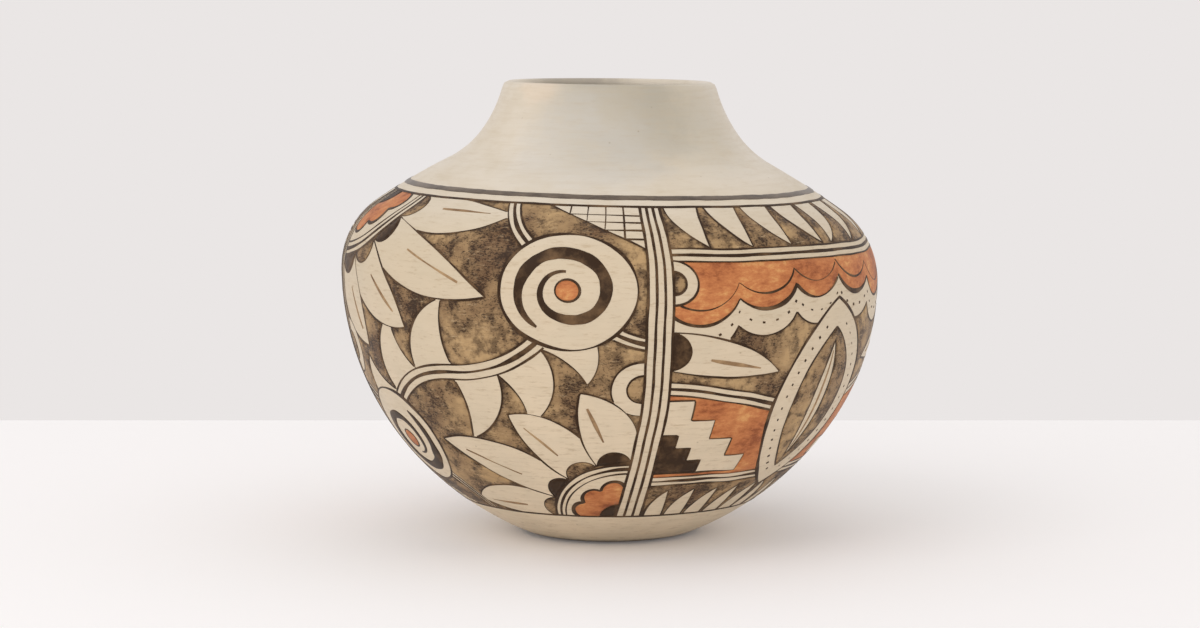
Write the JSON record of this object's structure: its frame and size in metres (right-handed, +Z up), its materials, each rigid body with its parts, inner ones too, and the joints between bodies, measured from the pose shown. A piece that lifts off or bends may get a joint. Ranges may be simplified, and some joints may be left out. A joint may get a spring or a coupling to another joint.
{
  "type": "pottery jar",
  "caption": "Round-bellied coil-built pottery jar with a drawn-in shoulder, short neck and open mouth, pale slip and painted stripes, for standing on a shelf or storing dry goods.",
  "frame": {"origin": "centre of the flat foot that the jar stands on", "axes": "+Z up along the jar's axis, the side in the picture faces -Y"},
  "size_m": [0.25, 0.25, 0.211],
  "materials": {
    "fired_clay": "low-fired tan clay, scraped and matt",
    "cream_slip": "stone-polished cream slip, low sheen, with smoky patches",
    "dark_paint": "matt brown-black mineral paint, brushed",
    "red_paint": "matt red ochre paint, brushed in streaks, on the visual model's painted panels"
  },
  "bodies": {
    "root": {"base_bowl": "fired_clay", "wall_coil_1": "fired_clay", "wall_coil_2": "fired_clay", "wall_coil_3": "fired_clay", "wall_coil_4": "fired_clay", "wall_coil_5": "fired_clay", "shoulder_coil_1": "fired_clay", "shoulder_coil_2": "fired_clay", "shoulder_coil_3": "fired_clay", "shoulder_coil_4": "fired_clay", "neck_coil_1": "fired_clay", "neck_coil_2": "fired_clay", "rim_coil": "fired_clay", "slip_coat": "cream_slip", "neck_band": "dark_paint", "neck_line": "dark_paint", "foot_line": "dark_paint", "panel_stripes": "dark_paint"}
  },
  "joints": []
}
